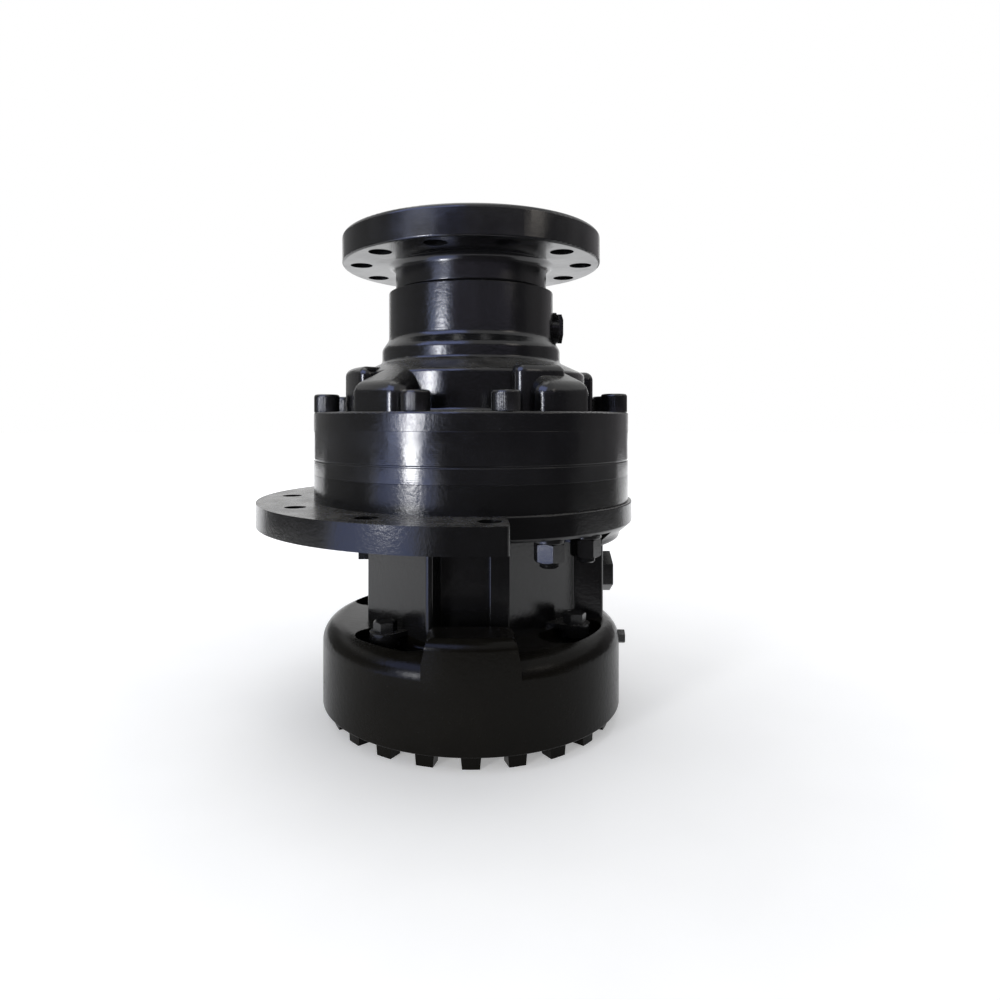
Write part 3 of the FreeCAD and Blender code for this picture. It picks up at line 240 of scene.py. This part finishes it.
def seal_rubber(name):
    """Black rubber with a faint bloom."""
    rubber = Finish(name)
    bloom = rubber.noise(0.006, detail=4.0)
    tone = rubber.blend(rubber.spread(bloom, 0.4, 0.7), (0.012, 0.012, 0.012),
                        (0.030, 0.030, 0.031))
    return rubber.set(Base_Color=tone, Roughness=rubber.spread(bloom, 0.3, 0.7, 0.45, 0.62),
                      Normal=rubber.bump(bloom, 0.1, 0.0003))


casting_paint = black_enamel("casting_paint", (0.0068, 0.0068, 0.0075), sheen=0.15, grain=0.20,
                             grain_size=0.0022, dust=0.6)
rear_paint = black_enamel("rear_paint", (0.0058, 0.0058, 0.0062), sheen=0.15, grain=0.16,
                          grain_size=0.0022, dust=0.6, shine=0.30)
brake_paint = black_enamel("brake_paint", (0.0050, 0.0044, 0.0033), sheen=0.20, grain=0.22,
                           grain_size=0.0026, dust=0.06, shine=0.085)
bolt_paint = black_enamel("bolt_paint", (0.0085, 0.0085, 0.0090), sheen=0.16, grain=0.12,
                          grain_size=0.0012, dust=0.10)
plug_paint = black_enamel("plug_paint", (0.010, 0.010, 0.010), sheen=0.18, grain=0.12,
                          grain_size=0.0012, dust=0.10)
shaft_paint = turned_enamel("shaft_paint", (0.0070, 0.0070, 0.0078), sheen=0.18)
ring_paint = turned_enamel("ring_paint", (0.0068, 0.0068, 0.0076), sheen=0.15)
ground_steel = bare_steel("ground_steel", (0.52, 0.52, 0.53), rough=0.28)
phosphated_steel = bare_steel("phosphated_steel", (0.075, 0.075, 0.08), rough=0.5)
disc_lining = sintered_bronze("disc_lining")
ring_rubber = seal_rubber("ring_rubber")

paint_of = {
    "output_shaft": shaft_paint, "front_case": casting_paint, "cam_ring": ring_paint,
    "rear_case": rear_paint, "brake_housing": brake_paint, "case_bolts": bolt_paint,
    "brake_bolts": bolt_paint, "rear_studs": bolt_paint, "neck_plug": plug_paint,
    "spool_cap_left": plug_paint, "spool_cap_right": plug_paint, "drain_plug": plug_paint,
    "brake_port_plug": plug_paint, "bleed_screw": plug_paint, "friction_discs": disc_lining,
    "brake_cover": phosphated_steel, "cover_retaining_ring": phosphated_steel,
}
for name, piece in nodes.items():
    finish = paint_of.get(name)
    if finish is None:
        finish = ring_rubber if name.endswith(("seal", "seals")) else ground_steel
    piece.data.materials.clear()
    piece.data.materials.append(finish)


# Castings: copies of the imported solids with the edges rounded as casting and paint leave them

def finished(name, rough):
    """The evaluated mesh of a worked object, as a plain piece."""
    graph = bpy.context.evaluated_depsgraph_get()
    mesh = bpy.data.meshes.new_from_object(rough.evaluated_get(graph))
    mesh.name = name
    piece = bpy.data.objects.new(name, mesh)
    bpy.context.scene.collection.objects.link(piece)
    bpy.data.objects.remove(rough)
    return piece


def eased_copy(name, node, radius, steps=2, sharp=28.0):
    """A merged copy of a node's mesh, with its edges over an angle of sharp degrees rounded."""
    weld, flat = 3e-6, math.radians(0.3)
    work = bmesh.new()
    work.from_mesh(nodes[node].data)
    bmesh.ops.remove_doubles(work, verts=work.verts, dist=weld)
    bmesh.ops.dissolve_limit(work, angle_limit=flat, verts=work.verts[:], edges=work.edges[:],
                             delimit={"NORMAL"})
    mesh = bpy.data.meshes.new(name)
    work.to_mesh(mesh)
    work.free()
    mesh.shade_smooth()
    rough = bpy.data.objects.new(name + "_rough", mesh)
    bpy.context.scene.collection.objects.link(rough)
    edge = rough.modifiers.new("edges", "BEVEL")
    edge.limit_method = "ANGLE"
    edge.angle_limit = math.radians(sharp)
    edge.width = radius
    edge.segments = steps
    shade = rough.modifiers.new("shade", "WEIGHTED_NORMAL")
    shade.keep_sharp = True
    shade.weight = 60
    return finished(name, rough)


def dress(piece, finish, body, slot, *replaced):
    """Paint a piece, set it on its body and hide the nodes that it replaces; the slot is not
    used.
    """
    piece.data.materials.clear()
    piece.data.materials.append(finish)
    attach(piece, body)
    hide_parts(*replaced)
    return piece


# Piece, the node that it replaces, edge radius, finish, body, slot
castings = (
    ("front_casting", "front_case", 0.0011, casting_paint, "case", "black_paint"),
    ("rear_casting", "rear_case", 0.0010, rear_paint, "case", "black_paint"),
    ("brake_casting", "brake_housing", 0.0011, brake_paint, "case", "black_paint"),
    ("flanged_shaft", "output_shaft", 0.0007, shaft_paint, "rotor", "black_paint"),
    ("cam_ring_skin", "cam_ring", 0.0004, ring_paint, "case", "black_paint"),
    ("neck_plug_head", "neck_plug", 0.0006, plug_paint, "case", "painted_plugs"),
    ("spool_cap_head", "spool_cap_right", 0.0008, plug_paint, "case", "painted_plugs"),
    ("spool_cap_head_left", "spool_cap_left", 0.0008, plug_paint, "case", "painted_plugs"),
    ("drain_plug_head", "drain_plug", 0.0006, plug_paint, "case", "painted_plugs"),
    ("brake_plug_head", "brake_port_plug", 0.0005, plug_paint, "case", "painted_plugs"),
    ("bleed_nipple", "bleed_screw", 0.0003, plug_paint, "case", "painted_plugs"),
)
for name, node, radius, finish, body, slot in castings:
    dress(eased_copy(name, node, radius), finish, body, slot, node)

# Springs, which in the motor shorten as the brake is released and as the speed spool shifts; here
# each is given a mesh of its own
disc_spring = dress(eased_copy("disc_spring", "brake_spring", 0.0003), ground_steel, "case",
                    "ground_steel", "brake_spring")
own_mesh(disc_spring)
shift_spring = dress(eased_copy("shift_spring", "spool_spring", 0.0001, steps=1, sharp=50.0),
                     ground_steel, "case", "ground_steel", "spool_spring")
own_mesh(shift_spring)


# Screws: a turned profile spun about its axis, hexagonal or knurled where the profile says so,
# then set in pairs round a ring

class Tree:
    """A geometry tree under construction."""

    def __init__(self, name, inputs):
        self.tree = bpy.data.node_groups.new(name, "GeometryNodeTree")
        self.tree.is_modifier = True
        face = self.tree.interface
        face.new_socket(name="Profile", in_out="INPUT", socket_type="NodeSocketGeometry")
        self.sockets = {}
        for label, kind in inputs:
            made = face.new_socket(name=label, in_out="INPUT", socket_type="NodeSocket" + kind)
            self.sockets[label] = made.identifier
        face.new_socket(name="Geometry", in_out="OUTPUT", socket_type="NodeSocketGeometry")
        self.given = self.node("NodeGroupInput").outputs

    def node(self, kind, **settings):
        made = self.tree.nodes.new(kind)
        for key, value in settings.items():
            setattr(made, key, value)
        return made

    def feed(self, node, **values):
        """Give a node its inputs by name; a value is a number, a vector or a socket."""
        for key, value in values.items():
            socket = node.inputs[key.replace("_", " ")]
            if isinstance(value, bpy.types.NodeSocket):
                self.tree.links.new(value, socket)
            else:
                socket.default_value = value
        return node

    def math(self, operation, first, second=0.0):
        made = self.node("ShaderNodeMath", operation=operation)
        for slot, value in enumerate((first, second)):
            if isinstance(value, bpy.types.NodeSocket):
                self.tree.links.new(value, made.inputs[slot])
            else:
                made.inputs[slot].default_value = value
        return made.outputs["Value"]

    def whole_part(self, number, divisor):
        """How often a divisor goes into a whole number; the half keeps rounding out of it."""
        return self.math("FLOOR", self.math("DIVIDE", self.math("ADD", number, 0.5), divisor))

    def profile_value(self, label, row):
        """A number stored on the profile's points, read at a row."""
        stored = self.feed(self.node("GeometryNodeInputNamedAttribute", data_type="FLOAT"),
                           Name=label)
        read = self.node("GeometryNodeSampleIndex", data_type="FLOAT", domain="POINT")
        self.feed(read, Geometry=self.given["Profile"], Value=stored.outputs["Attribute"],
                  Index=row)
        return read.outputs["Value"]


profile_columns = ("reach", "level", "hexed", "knurled", "bevelled")


def screw_tree():
    """The tree for every screw and nut: spin the profile, shape it, set it round a ring."""
    chamfer_slope = 0.577
    weld = 2e-6
    sizes = (("Rows", "Int"), ("Columns", "Int"), ("Across Flats", "Float"),
             ("Chamfer Radius", "Float"), ("Knurl Teeth", "Float"), ("Knurl Depth", "Float"),
             ("Ring Radius", "Float"), ("First Middle", "Float"), ("Pair Step", "Float"),
             ("Half Spread", "Float"), ("Count", "Int"), ("Loose Turn", "Float"), ("Seed", "Int"),
             ("Paint", "Material"))
    screw = Tree("spun_screws", sizes)
    given, node, feed, calc = screw.given, screw.node, screw.feed, screw.math

    # A grid whose columns go round the axis and whose rows are the profile's points
    grid = feed(node("GeometryNodeMeshGrid"), Size_X=1.0, Size_Y=1.0,
                Vertices_X=given["Columns"], Vertices_Y=given["Rows"])
    index = node("GeometryNodeInputIndex").outputs["Index"]
    row = calc("FLOORED_MODULO", index, given["Rows"])
    column = screw.whole_part(index, given["Rows"])
    steps = calc("SUBTRACT", given["Columns"], 1.0)
    turn = calc("MULTIPLY", calc("DIVIDE", column, steps), 2.0 * math.pi)
    drawn = {label: screw.profile_value(label, row) for label in profile_columns}

    # The hexagon's flats, the knurl's grooves and the chamfer over the hexagon's corners
    sector = calc("SUBTRACT", calc("FLOORED_MODULO", turn, math.pi / 3.0), math.pi / 6.0)
    flat = calc("DIVIDE", calc("MULTIPLY", given["Across Flats"], 0.5), calc("COSINE", sector))
    cut = calc("MINIMUM", drawn["reach"], flat)
    taken = calc("MULTIPLY", drawn["hexed"], calc("SUBTRACT", drawn["reach"], cut))
    plain = calc("SUBTRACT", drawn["reach"], taken)
    tooth = calc("COSINE", calc("MULTIPLY", turn, given["Knurl Teeth"]))
    depth = calc("MULTIPLY", calc("ADD", tooth, 1.0), given["Knurl Depth"])
    reach = calc("SUBTRACT", plain, calc("MULTIPLY", depth, drawn["knurled"]))
    past = calc("MAXIMUM", calc("SUBTRACT", reach, given["Chamfer Radius"]), 0.0)
    slope = calc("MULTIPLY", calc("MULTIPLY", past, chamfer_slope), drawn["bevelled"])
    level = calc("SUBTRACT", drawn["level"], slope)
    place = feed(node("ShaderNodeCombineXYZ"), X=calc("MULTIPLY", reach, calc("COSINE", turn)),
                 Y=calc("MULTIPLY", reach, calc("SINE", turn)), Z=level)
    spun = feed(node("GeometryNodeSetPosition"), Geometry=grid.outputs["Mesh"],
                Position=place.outputs["Vector"])
    closed = feed(node("GeometryNodeMergeByDistance"), Geometry=spun.outputs["Geometry"],
                  Distance=weld)

    # Seats in pairs round the ring, with each screw left at its own angle
    number = node("GeometryNodeInputIndex").outputs["Index"]
    pair = screw.whole_part(number, 2.0)
    side = calc("SUBTRACT", calc("MULTIPLY", calc("FLOORED_MODULO", number, 2.0), 2.0), 1.0)
    middle = calc("ADD", given["First Middle"], calc("MULTIPLY", pair, given["Pair Step"]))
    bearing = calc("ADD", middle, calc("MULTIPLY", side, given["Half Spread"]))
    angle = calc("RADIANS", bearing)
    front = calc("MULTIPLY", calc("COSINE", angle), -1.0)
    seat = feed(node("ShaderNodeCombineXYZ"),
                X=calc("MULTIPLY", given["Ring Radius"], calc("SINE", angle)),
                Y=calc("MULTIPLY", given["Ring Radius"], front))
    seats = feed(node("GeometryNodePoints"), Count=given["Count"],
                 Position=seat.outputs["Vector"])
    chance = feed(node("FunctionNodeRandomValue", data_type="FLOAT"), Seed=given["Seed"])
    drawn_turn = [s for s in chance.outputs if s.type == "VALUE"][0]
    loose = calc("MULTIPLY", drawn_turn, given["Loose Turn"])
    facing = feed(node("ShaderNodeCombineXYZ"), Z=calc("ADD", angle, loose))
    placed = feed(node("GeometryNodeInstanceOnPoints"), Points=seats.outputs["Points"],
                  Instance=closed.outputs["Geometry"], Rotation=facing.outputs["Vector"])
    real = feed(node("GeometryNodeRealizeInstances"), Geometry=placed.outputs["Instances"])
    painted = feed(node("GeometryNodeSetMaterial"), Geometry=real.outputs["Geometry"],
                   Material=given["Paint"])
    feed(node("NodeGroupOutput"), Geometry=painted.outputs["Geometry"])
    return screw


spun_screw = screw_tree()


def screws(name, profile, ring, flats, rim, columns=97, teeth=0.0, loose=0.0, seed=1):
    """Painted screws of one profile round a ring.

    A profile's row is a reach and a level in millimetres, then whether it is cut to the hexagon,
    knurled, and chamfered upward (1) or downward (-1), which are 0 where they aren't given.
    Across flats and the chamfer's rim are in millimetres, the loose turn in radians."""
    knurl_depth = 0.11
    sharp_corner = math.radians(34.0)
    rows = [(*row, 0, 0, 0)[:len(profile_columns)] for row in profile]
    mesh = bpy.data.meshes.new(name + "_profile")
    mesh.from_pydata([(millimetre * row[0], 0.0, millimetre * row[1]) for row in rows], [], [])
    for slot, label in enumerate(profile_columns):
        stored = mesh.attributes.new(label, "FLOAT", "POINT")
        for spot, row in zip(stored.data, rows):
            spot.value = millimetre * row[slot] if slot < 2 else float(row[slot])
    rough = bpy.data.objects.new(name + "_rough", mesh)
    bpy.context.scene.collection.objects.link(rough)
    spin = rough.modifiers.new("spin", "NODES")
    spin.node_group = spun_screw.tree
    radius, middle, step, half, count = ring
    settings = {
        "Rows": len(rows), "Columns": columns, "Across Flats": millimetre * flats,
        "Chamfer Radius": millimetre * rim, "Knurl Teeth": teeth,
        "Knurl Depth": millimetre * knurl_depth, "Ring Radius": radius, "First Middle": middle,
        "Pair Step": step, "Half Spread": half, "Count": count, "Loose Turn": loose,
        "Seed": seed, "Paint": bolt_paint,
    }
    for label, value in settings.items():
        spin[spun_screw.sockets[label]] = value
    piece = finished(name, rough)
    work = bmesh.new()
    work.from_mesh(piece.data)
    bmesh.ops.recalc_face_normals(work, faces=work.faces[:])
    work.to_mesh(piece.data)
    work.free()
    piece.data.shade_smooth()
    piece.data.set_sharp_from_angle(angle=sharp_corner)
    return piece


# A knurled head with a hexagon socket, a shank below it
cap_screw_profile = (
    (0.0, 4.0), (5.2, 4.0), (6.0, 4.8), (6.0, 62.0), (8.7, 62.0), (9.0, 62.3), (9.0, 62.9, 0, 1),
    (9.0, 72.6, 0, 1), (9.0, 73.3), (8.75, 74.2), (8.1, 74.8), (7.3, 75.0), (5.95, 75.0),
    (5.8, 74.6, 1), (5.8, 70.0, 1), (5.0, 69.9, 1), (0.0, 68.6),
)
# A threaded end, a nut, a washer and the stud's shank
stud_profile = (
    (0.0, -34.0), (4.9, -34.0), (5.4, -33.6), (6.0, -33.1), (5.4, -32.5), (6.0, -31.9),
    (5.6, -31.2), (6.1, -30.5), (6.6, -30.5), (8.0, -30.5), (9.9, -30.5, 1, 0, -1),
    (9.9, -18.5, 1, 0, 1), (8.1, -18.5), (9.6, -18.5), (10.0, -18.1), (10.0, -16.3),
    (9.7, -16.0), (6.0, -16.0), (6.0, 38.9), (5.2, 39.7), (0.0, 39.7),
)
# A hexagon head over its shank
brake_screw_profile = (
    (0.0, -110.0), (4.3, -110.0), (5.0, -109.3), (5.0, -84.0), (6.5, -84.0), (8.2, -83.9, 1),
    (8.2, -77.0, 1, 0, 1), (6.6, -77.0), (5.4, -77.0), (5.0, -77.4), (0.0, -77.4),
)
fasteners = (
    (screws("socket_screws", cap_screw_profile, case_screw_ring, flats=10.0, rim=9.0,
            columns=225, teeth=56.0, loose=0.5, seed=4), "case_bolts"),
    (screws("rear_nuts", stud_profile, stud_ring, flats=17.0, rim=8.0, loose=0.25, seed=7),
     "rear_studs"),
    (screws("brake_screws", brake_screw_profile, brake_screw_ring, flats=14.0, rim=6.6),
     "brake_bolts"),
)
for piece, node in fasteners:
    dress(piece, bolt_paint, "case", "painted_bolts", node)


# Floor, light and camera

def meshed(name, work):
    """A new object holding a worked mesh."""
    mesh = bpy.data.meshes.new(name)
    work.to_mesh(mesh)
    work.free()
    made = bpy.data.objects.new(name, mesh)
    bpy.context.scene.collection.objects.link(made)
    return made


def pale_floor():
    """White paper, which the camera and the paint's reflections see brighter with distance."""
    near, far, near_lift, far_lift = 0.25, 1.4, 0.30, 1.0
    work = bmesh.new()
    bmesh.ops.create_circle(work, cap_ends=True, segments=96, radius=12.0)
    floor = meshed("floor", work)
    floor.data.transform(Matrix.Translation((0, 0, stand_z)))
    paper = Finish("pale_paper")
    fibre = paper.noise(0.05, detail=3.0)
    colour = paper.blend(paper.spread(fibre, 0.3, 0.7), (0.88, 0.88, 0.88), (0.91, 0.91, 0.91))
    path = paper.node("ShaderNodeLightPath").outputs
    shown = paper.math("MAXIMUM", path["Is Camera Ray"], path["Is Glossy Ray"])
    shown = paper.math("MAXIMUM", shown, path["Is Transmission Ray"])
    away = paper.node("ShaderNodeVectorMath", operation="LENGTH")
    paper.link(paper.place, away.inputs[0])
    lift = paper.spread(away.outputs["Value"], near, far, near_lift, far_lift)
    strength = paper.math("MULTIPLY", shown, lift)
    floor.data.materials.append(paper.set(Base_Color=colour, Roughness=0.9,
                                          Emission_Color=(1.0, 1.0, 1.0),
                                          Emission_Strength=strength))


def reflected_card(name, glow, first, last, foot, top, inner, outer):
    """A card that glows beside the camera's view, seen only in the paint's reflections: a painted
    reflection that stands in for the light and shade of a room.

    It reaches from one bearing to another, from a level at its inner radius to a level at its
    outer one: a standing arc where it has height, and otherwise a patch of the floor."""
    steps = 40
    work = bmesh.new()
    rows = []
    for step in range(steps + 1):
        bearing = math.radians(first + (last - first) * step / steps)
        out = Vector((math.sin(bearing), -math.cos(bearing), 0.0))
        near = work.verts.new(out * inner + Vector((0, 0, foot)))
        rows.append((near, work.verts.new(out * outer + Vector((0, 0, top)))))
    for one, two in zip(rows, rows[1:]):
        work.faces.new((one[0], two[0], two[1], one[1]))
    card = meshed(name, work)
    glow_sheet = Finish(name + "_cloth")
    # The glow rises and falls at random across the card: painted light and shade of folds in a
    # lit cloth
    uneven_glow = glow_sheet.spread(glow_sheet.noise(0.6, detail=2.0), 0.3, 0.7, 0.75, 1.25)
    level = max(glow)
    brightest = tuple(2.0 * c / level for c in glow)
    colour = glow_sheet.blend(glow_sheet.math("MULTIPLY", uneven_glow, 0.5), (0.0, 0.0, 0.0), brightest)
    card.data.materials.append(glow_sheet.set(Base_Color=(0.0, 0.0, 0.0), Roughness=1.0,
                                         Specular_IOR_Level=0.0, Emission_Color=colour,
                                         Emission_Strength=float(level)))
    glow_sheet.material.cycles.emission_sampling = "NONE"
    for kind in ("camera", "diffuse", "transmission", "volume_scatter", "shadow"):
        setattr(card, "visible_" + kind, False)


def white_room():
    """A white room for the camera and the reflections, and a dim even light for the rest."""
    world = bpy.data.worlds.new("white_room")
    bpy.context.scene.world = world
    world.use_nodes = True
    tree = world.node_tree
    tree.nodes.clear()
    path = tree.nodes.new("ShaderNodeLightPath")
    shown = path.outputs["Is Camera Ray"]
    for ray in ("Is Glossy Ray", "Is Transmission Ray"):
        either = tree.nodes.new("ShaderNodeMath")
        either.operation = "MAXIMUM"
        tree.links.new(shown, either.inputs[0])
        tree.links.new(path.outputs[ray], either.inputs[1])
        shown = either.outputs[0]
    mix = tree.nodes.new("ShaderNodeMixShader")
    tree.links.new(shown, mix.inputs["Fac"])
    dim, white = (0.94, 0.96, 1.0, 1.0), (1.0, 1.0, 1.0, 1.0)
    for slot, colour, strength in ((1, dim, 0.50), (2, white, 1.0)):
        light = tree.nodes.new("ShaderNodeBackground")
        light.inputs["Color"].default_value = colour
        light.inputs["Strength"].default_value = strength
        tree.links.new(light.outputs[0], mix.inputs[slot])
    out = tree.nodes.new("ShaderNodeOutputWorld")
    tree.links.new(mix.outputs[0], out.inputs["Surface"])


def panel(name, at, toward, width, height, power, colour):
    """A rectangular lamp that the camera doesn't see."""
    lamp = bpy.data.lights.new(name, "AREA")
    lamp.shape = "RECTANGLE"
    lamp.size = width
    lamp.size_y = height
    lamp.energy = power
    lamp.color = colour
    holder = bpy.data.objects.new(name, lamp)
    bpy.context.scene.collection.objects.link(holder)
    holder.location = at
    holder.rotation_euler = (Vector(toward) - Vector(at)).to_track_quat("-Z", "Y").to_euler()
    holder.visible_camera = False


def photo_camera():
    """The camera solved from the photograph's ellipses: level, close and shifted."""
    lens = bpy.data.cameras.new("photo_camera")
    lens.sensor_width = 36.0
    lens.lens = 25.2
    lens.shift_x = 0.029
    lens.shift_y = -0.080
    camera = bpy.data.objects.new("photo_camera", lens)
    bpy.context.scene.collection.objects.link(camera)
    camera.location = (0.0, -0.525, 0.0567)
    camera.rotation_euler = (math.radians(90.0), 0.0, 0.0)
    bpy.context.scene.camera = camera


# Cards that glow and are seen only in the paint's reflections: painted reflections of dark walls
# and floor, a window, its light on the floor and the sky
wall_radius = 3.0
wall_top = 1.3
# Name, glow, first and last bearing in degrees, foot, top, radius at the foot and at the top
cards = (
    ("front_wall_card", (0.085, 0.080, 0.095), -31.0, 78.0, stand_z, wall_top,
     wall_radius, wall_radius),
    ("lit_wall_card", (0.80, 0.76, 1.00), -31.0, 57.0, 0.53, 0.72, 2.9, 2.9),
    ("window_wall_card", (2.4, 2.8, 4.4), -57.0, -30.0, -0.05, 0.62, 2.2, 2.2),
    ("left_wall_card", (0.24, 0.24, 0.24), -152.0, -58.0, stand_z, wall_top,
     wall_radius, wall_radius),
    ("right_wall_card", (0.28, 0.27, 0.28), 78.0, 152.0, stand_z, wall_top,
     wall_radius, wall_radius),
    ("high_sky_card", (2.1, 2.5, 4.6), -74.0, -8.0, wall_top, 2.6, wall_radius, 1.9),
    ("front_floor_card", (0.10, 0.095, 0.10), -20.0, 70.0, over_floor, over_floor,
     0.34, wall_radius),
    ("window_floor_card", (1.6, 1.9, 3.3), -66.0, -24.0, over_floor, over_floor,
     0.36, wall_radius),
    ("left_floor_card", (0.22, 0.22, 0.22), -124.0, -70.0, over_floor, over_floor,
     0.9, wall_radius),
    ("right_floor_card", (0.22, 0.22, 0.22), 70.0, 124.0, over_floor, over_floor,
     0.9, wall_radius),
)
# Name, place, what it looks at, width, height, watts, colour
lamps = (
    ("window", (-1.08, -1.31, 0.07), (0, 0, 0.04), 0.28, 0.54, 17.0, (1.0, 1.0, 1.0)),
    ("fill", (1.6, -1.1, 0.9), (0, 0, 0.0), 0.5, 0.5, 2.0, (1.0, 0.93, 0.84)),
    ("top", (-0.2, 0.1, 1.7), (0, 0, 0.0), 1.2, 1.2, 8.0, (1.0, 1.0, 1.0)),
)
pale_floor()
white_room()
for card in cards:
    reflected_card(*card)
for lamp in lamps:
    panel(*lamp)
photo_camera()
bpy.context.scene.view_settings.view_transform = "Standard"
